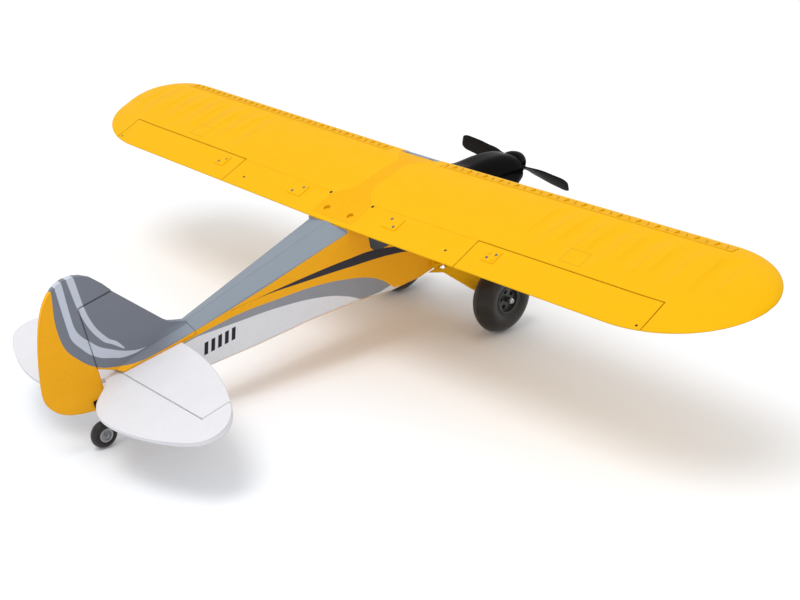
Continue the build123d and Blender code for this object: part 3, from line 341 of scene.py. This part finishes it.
def slate_yellow_foam():
    """Fin and rudder: slate with a yellow trailing part and two pale crescents."""
    paint = Paint("slate_yellow_foam")
    x, _, z = paint.flying()
    # The crescents and the border run up the fin, so they are read as x against height there.
    border_aft = paint.curve(z, [(-33, -545), (-31, -565), (-27, -580), (-10, -610), (10, -627),
                                 (35, -640), (60, -642), (112, -634)])
    border_low = paint.curve(x, [(-640, -33), (-540, -33), (-460, -29.5)])
    behind = paint.above(border_aft, x)
    under = paint.above(border_low, z)
    # The slate fades to the deck's silver where the fin's base runs out forwards.
    fade = paint.both(paint.spread(x, -522.0, -478.0), paint.above(-17.0, z, 3.0))
    field = paint.mix(fade, SLATE, SILVER)
    colour = paint.mix(paint.maths("MAXIMUM", behind, under), field, SIDE_YELLOW)
    first_aft = paint.curve(z, [(-24, -545), (-18, -572), (-12, -583), (0, -602), (20, -618),
                                (50, -629), (115, -628)])
    first_fore = paint.curve(z, [(-24, -530), (-18, -552), (0, -581), (20, -602), (60, -620),
                                 (115, -618)])
    second_aft = paint.curve(z, [(-8, -565), (5, -577), (20, -591), (60, -606), (117, -611)])
    second_fore = paint.curve(z, [(-8, -563), (5, -570), (20, -583), (60, -598), (117, -601)])
    first = paint.both(paint.above(x, first_aft), paint.above(first_fore, x), paint.above(z, -23.0))
    second = paint.both(paint.above(x, second_aft), paint.above(second_fore, x), paint.above(z, -8.0))
    colour = paint.mix(paint.maths("MAXIMUM", first, second), colour, PALE)
    white = paint.both(paint.above(-36.0, z), paint.above(x, -606.0))
    colour = paint.mix(white, colour, FOAM_WHITE)
    return foam(paint, colour, edge=2.5)


def moulded(paint, smooth, rough):
    """Surface of a moulded part: faint handling marks, softened edges and a fine grain."""
    marks = paint.noise(3.0, detail=6.0, rough=0.7)
    paint.set(Roughness=paint.spread(marks, 0.3, 0.75, smooth, rough))
    paint.soften(0.4)
    paint.bump(paint.noise(0.6, detail=2.0), 0.02, 0.5)
    return paint.material


def plastic(name, colour, gloss=0.35, shine=0.4, worn=0.88):
    """Moulded plastic in one colour, worn a little darker in patches."""
    paint = Paint(name)
    tone = paint.spread(paint.noise(9.0, detail=4.0), 0.35, 0.7)
    dark = tuple(part * worn for part in colour[:3])
    paint.set(Base_Color=paint.mix(tone, colour, (*dark, 1.0)), Specular_IOR_Level=shine)
    return moulded(paint, gloss - 0.05, gloss + 0.10)


def metal(name, colour, rough, brush=None):
    """Metal with drawn or turned lines along the given axis scale."""
    paint = Paint(name)
    lines = paint.noise(2.0, detail=6.0, rough=0.7, stretch=brush)
    dark = tuple(part * 0.75 for part in colour[:3])
    paint.set(Base_Color=paint.mix(paint.spread(lines, 0.35, 0.7), colour, (*dark, 1.0)))
    paint.set(Roughness=paint.spread(lines, 0.3, 0.7, rough - 0.06, rough + 0.12))
    paint.set(Metallic=1.0)
    paint.soften(0.25)
    paint.bump(lines, 0.02, 0.4)
    return paint.material


def smoked():
    """Windows: smoked glossy sheet with faint film streaks."""
    paint = Paint("dark_window")
    haze = paint.noise(30.0, detail=3.0)
    paint.set(Base_Color=paint.mix(paint.spread(haze, 0.3, 0.7), linear(34, 35, 40),
                                   linear(50, 52, 58)))
    paint.set(Roughness=paint.spread(haze, 0.3, 0.7, 0.07, 0.14))
    paint.set(Coat_Weight=0.25, Coat_Roughness=0.05, Specular_IOR_Level=0.25)
    paint.soften(0.5)
    return paint.material


def gloss_black():
    """Nose in black lacquer with slight orange peel; the hatch's tongue in the wing is silver."""
    paint = Paint("black_gloss")
    x, _, z = paint.flying()
    dust = paint.noise(1.6, detail=6.0, rough=0.75)
    tongue = paint.both(paint.above(1.0, x), paint.above(z, -6.0))
    black = paint.mix(paint.spread(dust, 0.55, 0.85), linear(9, 8, 9), linear(20, 19, 20))
    paint.set(Base_Color=paint.mix(tongue, black, SILVER))
    paint.set(Roughness=paint.spread(dust, 0.3, 0.8, 0.20, 0.30), Specular_IOR_Level=0.01)
    lacquer = paint.maths("SUBTRACT", 0.05, paint.maths("MULTIPLY", tongue, 0.05))
    paint.set(Coat_Weight=lacquer, Coat_Roughness=0.08)
    paint.soften(1.5)
    paint.bump(paint.noise(4.0, detail=1.0), 0.03, 0.35)
    return paint.material


def windings():
    """Enamelled copper wire laid round the stator teeth."""
    paint = Paint("copper_windings")
    wires = paint.wave(0.9, 1.2)
    paint.set(Base_Color=paint.mix(wires, linear(120, 52, 22), linear(205, 112, 60)))
    paint.set(Roughness=0.3, Metallic=0.8)
    paint.bump(wires, 0.25, 0.9)
    return paint.material


def carbon():
    """Pultruded carbon tube: fine lines along the tube under a satin skin."""
    paint = Paint("carbon_tube")
    lines = paint.noise(1.2, detail=5.0, stretch=(1.0, 0.04, 1.0))
    paint.set(Base_Color=paint.mix(lines, linear(22, 22, 25), linear(58, 59, 64)))
    paint.set(Roughness=0.35, Coat_Weight=0.4, Coat_Roughness=0.2)
    paint.bump(lines, 0.03, 0.5)
    return paint.material


def rubber():
    """Soft foam rubber: near black, dusty in patches, with a fine open grain."""
    paint = Paint("tyre_rubber")
    grain = paint.noise(0.8, detail=5.0, rough=0.7)
    dust = paint.noise(14.0, detail=5.0)
    paint.set(Base_Color=paint.mix(paint.spread(dust, 0.45, 0.75), linear(28, 25, 21),
                                   linear(42, 37, 31)))
    paint.set(Roughness=paint.spread(grain, 0.3, 0.7, 0.38, 0.55), Specular_IOR_Level=0.35)
    paint.set(Sheen_Weight=0.15, Sheen_Roughness=0.4)
    paint.bump(grain, 0.06, 0.6)
    return paint.material


def hubs():
    """Moulded hubs: dark grey on the main wheels, set darker still as painted shade of the tyre's recess
    round them, and light grey on the tail wheel.
    """
    paint = Paint("hub_plastic")
    x = paint.flying()[0]
    tone = paint.spread(paint.noise(7.0, detail=4.0), 0.35, 0.7)
    # Painted shade: the main hubs' grey is darker than the plastic's own, standing in for the shade of
    # the recess they sit in.
    main = paint.mix(tone, linear(50, 49, 49), linear(40, 39, 39))
    tail = paint.mix(tone, linear(158, 158, 160), linear(140, 140, 143))
    paint.set(Base_Color=paint.mix(paint.above(-500.0, x), main, tail))
    return moulded(paint, 0.32, 0.48)


def plywood():
    """Light ply: long grain lines over cross-banded edges."""
    paint = Paint("plywood")
    grain = paint.noise(5.0, detail=8.0, rough=0.65, stretch=(0.06, 1.0, 1.0))
    paint.set(Base_Color=paint.mix(grain, linear(196, 160, 112), linear(226, 198, 152)))
    paint.set(Roughness=0.55)
    paint.bump(grain, 0.05, 0.5)
    return paint.material


def wrap(name, colour, accent):
    """Shrink wrap on a pack: tight creases and a plain accent band."""
    paint = Paint(name)
    x = paint.flying()[0]
    band = paint.both(paint.above(x, -2.0), paint.above(28.0, x))
    paint.set(Base_Color=paint.mix(band, colour, accent))
    creases = paint.noise(7.0, detail=6.0, rough=0.6, stretch=(0.3, 1.0, 1.0))
    paint.set(Roughness=paint.spread(creases, 0.3, 0.7, 0.18, 0.34))
    paint.bump(creases, 0.25, 0.6)
    return paint.material


MATERIALS = {
    "livery_foam": livery_foam(),
    "slate_yellow_foam": slate_yellow_foam(),
    "yellow_foam": wing_foam(),
    "white_foam": plain_foam("white_foam", FOAM_WHITE, dent=0.12, shade=0.03, edge=2.5),
    "yellow_plastic": plastic("yellow_plastic", YELLOW, gloss=0.5, shine=0.06, worn=0.96),
    "amber_plate": plastic("amber_plate", (0.74, 0.365, 0.002, 1.0), gloss=0.5, shine=0.06, worn=0.97),
    "fin_strip": plastic("fin_strip", (0.72, 0.37, 0.003, 1.0), gloss=0.5, shine=0.06, worn=0.95),
    "dark_window": smoked(),
    "black_gloss": gloss_black(),
    "black_nylon": plastic("black_nylon", linear(20, 17, 15), gloss=0.4, shine=0.1),
    "white_nylon": plastic("white_nylon", linear(214, 214, 208), gloss=0.4),
    "copper_windings": windings(),
    "motor_metal": metal("motor_metal", linear(190, 192, 198), 0.28),
    "heat_shrink": plastic("heat_shrink", linear(40, 41, 46), gloss=0.3),
    "electronics_case": plastic("electronics_case", linear(46, 47, 52), gloss=0.35),
    "battery_wrap": wrap("battery_wrap", linear(28, 62, 130), linear(200, 202, 208)),
    "plywood": plywood(),
    "servo_case": plastic("servo_case", linear(38, 44, 66), gloss=0.28),
    "carbon_tube": carbon(),
    "steel_wire": metal("steel_wire", linear(176, 178, 184), 0.25, (0.1, 0.1, 1.0)),
    "screw_steel": metal("screw_steel", linear(120, 120, 124), 0.35),
    "collar_metal": metal("collar_metal", linear(214, 216, 220), 0.15),
    "tyre_rubber": rubber(),
    "hub_plastic": hubs(),
}

for piece in NODES.values():
    for holder in piece.material_slots:
        if holder.material and holder.material.name.split(".")[0] in MATERIALS:
            holder.material = MATERIALS[holder.material.name.split(".")[0]]


# ---------------------------------------------------------------- pieces made here

TYRE = (55.0, 19.0, 21.65)          # outer radius, half width, radius at the hub
TAIL_TYRE = (19.0, 7.0, 9.65)
NUT_Y = 132.9                       # where the axle nut's inner face sits
NUT_HALF, NUT_DEEP, AXLE = 3.6, 2.6, 2.05
DIHEDRAL = 0.013                    # rise of the wing per unit of span
SKIN_FALL = 0.2475                  # slope of the upper skin under the horn plates
PLATE_X, PLATE_TOP = -173.0, 10.5   # a point on top of the horn plates
FLAP_SCREWS = ((-167, 95.5), (-179, 109.5))
AILERON_SCREWS_X, AILERON_SCREWS_Y, AILERON_SCREWS_SKEW = -172, (283, 293), 4
SCREW_RADIUS = 2.0


def piece(name, verts, faces, body, finish, *nodes):
    """A smooth-shaded piece that rides a body, and stands for CAD nodes when any are named."""
    mesh = bpy.data.meshes.new(name)
    mesh.from_pydata([place(*v) for v in verts], [], faces)
    mesh.update()
    for polygon in mesh.polygons:
        polygon.use_smooth = True
    mesh.materials.append(MATERIALS[finish])
    made = bpy.data.objects.new(name, mesh)
    bpy.context.scene.collection.objects.link(made)
    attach(made, body)
    if nodes:
        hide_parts(*nodes)
    return made


def rounded(points, steps=5):
    """Closed smooth curve through points, with steps runs between neighbours."""
    out = []
    count = len(points)
    for i in range(count):
        a, b, c, d = (Vector(points[(i + k) % count]) for k in (-1, 0, 1, 2))
        for step in range(steps):
            t = step / steps
            out.append(0.5 * ((2 * b) + (c - a) * t + (2 * a - 5 * b + 4 * c - d) * t ** 2
                              + (3 * b - a - 3 * c + d) * t ** 3))
    return out


def ring(profile, centre, steps=120):
    """Closed section of (radius, offset) points, turned about an axle that lies along Y."""
    verts, faces = [], []
    count = len(profile)
    for turn in range(steps):
        angle = math.tau * turn / steps
        for radius, offset in profile:
            verts.append((centre[0] + radius * math.cos(angle), centre[1] + offset,
                          centre[2] + radius * math.sin(angle)))
    for turn in range(steps):
        for k in range(count):
            near, far = turn * count, (turn + 1) % steps * count
            nxt = (k + 1) % count
            faces.append((near + k, near + nxt, far + nxt, far + k))
    return verts, faces


def tyre_section(radius, half, bore):
    """Plump tyre: bead lip by the hub, full sidewalls and a fine moulding ridge on the crown."""
    height = radius - bore
    side = [(0.0, 0.66), (0.012, 0.74), (0.05, 0.79), (0.10, 0.775), (0.135, 0.80), (0.25, 0.93),
            (0.42, 0.995), (0.58, 0.96), (0.74, 0.82), (0.87, 0.58), (0.955, 0.30), (0.988, 0.06)]
    upper = [(bore + u * height, v * half) for u, v in side]
    crown = [(radius - 0.002 * height, 0.0)]
    lower = [(r, -y) for r, y in reversed(upper)]
    return rounded(upper + crown + lower + [(bore, 0.0)])


def build_tyres():
    """Moulded tyres that stand for the three plain CAD ones."""
    for word, side in (("left", 1), ("right", -1)):
        centre = (MAIN_WHEEL[0], side * MAIN_WHEEL[1], MAIN_WHEEL[2])
        shape = ring(tyre_section(*TYRE), centre)
        piece(f"tyre_{word}_moulded", *shape, f"wheel_{word}", "tyre_rubber", f"tyre_{word}")
    shape = ring(tyre_section(*TAIL_TYRE), TAIL_WHEEL, steps=72)
    piece("tail_tyre_moulded", *shape, "tail_wheel", "tyre_rubber", "tail_tyre")


def bands(rows, steps, closed=False):
    """Faces between neighbouring rows of steps points, and from last row to first when closed."""
    faces = []
    for row in range(rows if closed else rows - 1):
        near, far = row * steps, (row + 1) % rows * steps
        for turn in range(steps):
            nxt = (turn + 1) % steps
            faces.append((near + turn, near + nxt, far + nxt, far + turn))
    return faces


def hex_nut(centre, side, steps=48):
    """Six-sided nut with a chamfered face and a domed locking collar, facing outwards along Y."""
    rows = [(AXLE, 0.0, False), (NUT_HALF, 0.0, True), (NUT_HALF, NUT_DEEP * 0.72, True),
            (NUT_HALF * 0.86, NUT_DEEP, False), (NUT_HALF * 0.74, NUT_DEEP, False),
            (NUT_HALF * 0.70, NUT_DEEP * 1.28, False), (NUT_HALF * 0.58, NUT_DEEP * 1.42, False),
            (AXLE, NUT_DEEP * 1.42, False)]
    verts = []
    for radius, offset, six in rows:
        for turn in range(steps):
            angle = math.tau * turn / steps
            local = (angle + math.pi / 6) % (math.pi / 3) - math.pi / 6
            reach = radius / math.cos(local) if six else radius
            verts.append((centre[0] + reach * math.cos(angle), centre[1] + side * offset,
                          centre[2] + reach * math.sin(angle)))
    faces = bands(len(rows), steps, closed=True)
    return verts, faces if side < 0 else [face[::-1] for face in faces]


def wing_point(x, y, z):
    """A point of the flat panel on its dihedral, on the side given by y's sign."""
    lean = math.atan(DIHEDRAL)
    out = abs(y) * math.cos(lean) - z * math.sin(lean)
    return x, math.copysign(out, y), abs(y) * math.sin(lean) + z * math.cos(lean)


def screw_head(x, y, steps=32):
    """Pan head with a crossed recess, seated on the horn plate at (x, y)."""
    rows = [(1.0, -0.25), (1.0, 0.20), (0.93, 0.42), (0.72, 0.62), (0.48, 0.70), (0.28, 0.72)]
    seat = PLATE_TOP + SKIN_FALL * (x - PLATE_X)
    verts = []
    for radius, rise in rows:
        for turn in range(steps):
            angle = math.tau * turn / steps
            arm = min(abs(math.sin(angle)), abs(math.cos(angle)))
            sunk = 0.55 if radius <= 0.5 and arm < 0.34 else 0.0
            across = SCREW_RADIUS * radius * math.cos(angle)
            verts.append(wing_point(x + across, y + SCREW_RADIUS * radius * math.sin(angle),
                                    seat + (rise - sunk) * SCREW_RADIUS * 0.5 + SKIN_FALL * across))
    last = (len(rows) - 1) * steps
    verts.append(wing_point(x, y, seat - 0.25 * SCREW_RADIUS * 0.5))
    faces = bands(len(rows), steps)
    faces += [(last + turn, last + (turn + 1) % steps, len(verts) - 1) for turn in range(steps)]
    faces.append(tuple(reversed(range(steps))))
    return verts, faces


def joined(*shapes):
    """Several (verts, faces) shapes as one."""
    verts, faces = [], []
    for some_verts, some_faces in shapes:
        start = len(verts)
        verts += some_verts
        faces += [tuple(start + i for i in face) for face in some_faces]
    return verts, faces


def build_fittings():
    """Axle nuts, and the screws that hold the horn plates on top of flaps and ailerons."""
    for word, side in (("left", 1), ("right", -1)):
        nut = hex_nut((MAIN_WHEEL[0], side * NUT_Y, MAIN_WHEEL[2]), side)
        piece(f"axle_nut_{word}", *nut, "airframe", "collar_metal")
        flap = [screw_head(x, side * y) for x, y in FLAP_SCREWS]
        piece(f"flap_plate_screws_{word}", *joined(*flap), "airframe", "screw_steel")
        skew = AILERON_SCREWS_SKEW * side
        aileron = [screw_head(AILERON_SCREWS_X + ahead, side * y)
                   for ahead, y in zip((skew, -skew), AILERON_SCREWS_Y)]
        piece(f"aileron_plate_screws_{word}", *joined(*aileron), f"aileron_{word}", "screw_steel")


build_tyres()
build_fittings()


# ---------------------------------------------------------------- studio

def floor():
    """A wide, plain, pale floor."""
    mesh = bpy.data.meshes.new("floor")
    size = 12.0
    mesh.from_pydata([(-size, -size, 0), (size, -size, 0), (size, size, 0), (-size, size, 0)],
                     [], [(0, 1, 2, 3)])
    plane = bpy.data.objects.new("floor", mesh)
    bpy.context.scene.collection.objects.link(plane)
    paint = Paint("floor_white")
    paint.set(Base_Color=(0.85, 0.872, 0.90, 1.0), Roughness=0.9, Specular_IOR_Level=0.05)
    mesh.materials.append(paint.material)


def lamp(name, spot, aim, size, power):
    """A round soft lamp at spot, turned towards aim."""
    light = bpy.data.lights.new(name, "AREA")
    light.shape = "DISK"
    light.size = size
    light.energy = power
    holder = bpy.data.objects.new(name, light)
    bpy.context.scene.collection.objects.link(holder)
    holder.location = spot
    holder.rotation_mode = "QUATERNION"
    holder.rotation_quaternion = (Vector(aim) - Vector(spot)).to_track_quat("-Z", "Y")


def studio():
    """Even white surroundings, one broad sun and one soft lamp above the wing."""
    floor()
    world = bpy.data.worlds.new("world")
    bpy.context.scene.world = world
    world.use_nodes = True
    back = world.node_tree.nodes["Background"]
    back.inputs["Color"].default_value = (1.0, 1.0, 1.0, 1.0)
    back.inputs["Strength"].default_value = 0.96
    sun = bpy.data.lights.new("sky_panel", "SUN")
    sun.energy, sun.angle = 0.75, math.radians(28.0)
    holder = bpy.data.objects.new("sky_panel", sun)
    bpy.context.scene.collection.objects.link(holder)
    holder.rotation_euler = (0.0, math.radians(-21.0), 0.0)
    lamp("key", (-0.75, -0.2, 1.9), (0.0, -0.2, 0), 1.0, 7)
    bpy.context.scene.view_settings.view_transform = "Standard"


def camera():
    """The plane seen from behind, to its right and above, as a product photograph shows it."""
    azimuth, elevation, roll = (math.radians(a) for a in (51.502, 30.944, -10.467))
    distance, target = 1751.486, Vector((-296.561, -242.777, 0.0))
    back = Vector((-math.cos(azimuth) * math.cos(elevation),
                   -math.sin(azimuth) * math.cos(elevation), math.sin(elevation)))
    spot = target + back * distance
    right = (-back).cross(Vector((0, 0, 1))).normalized()
    up = right.cross(-back)
    right, up = (math.cos(roll) * right + math.sin(roll) * up,
                 -math.sin(roll) * right + math.cos(roll) * up)
    axes = Matrix((right, up, back)).transposed()
    lens = bpy.data.cameras.new("camera")
    lens.sensor_width = 36.0
    lens.lens = 62.396
    lens.clip_start, lens.clip_end = 0.05, 50.0
    holder = bpy.data.objects.new("camera", lens)
    bpy.context.scene.collection.objects.link(holder)
    holder.matrix_world = Matrix.Translation(place(*spot)) @ (TURN.to_3x3() @ axes).to_4x4()
    bpy.context.scene.camera = holder


studio()
camera()
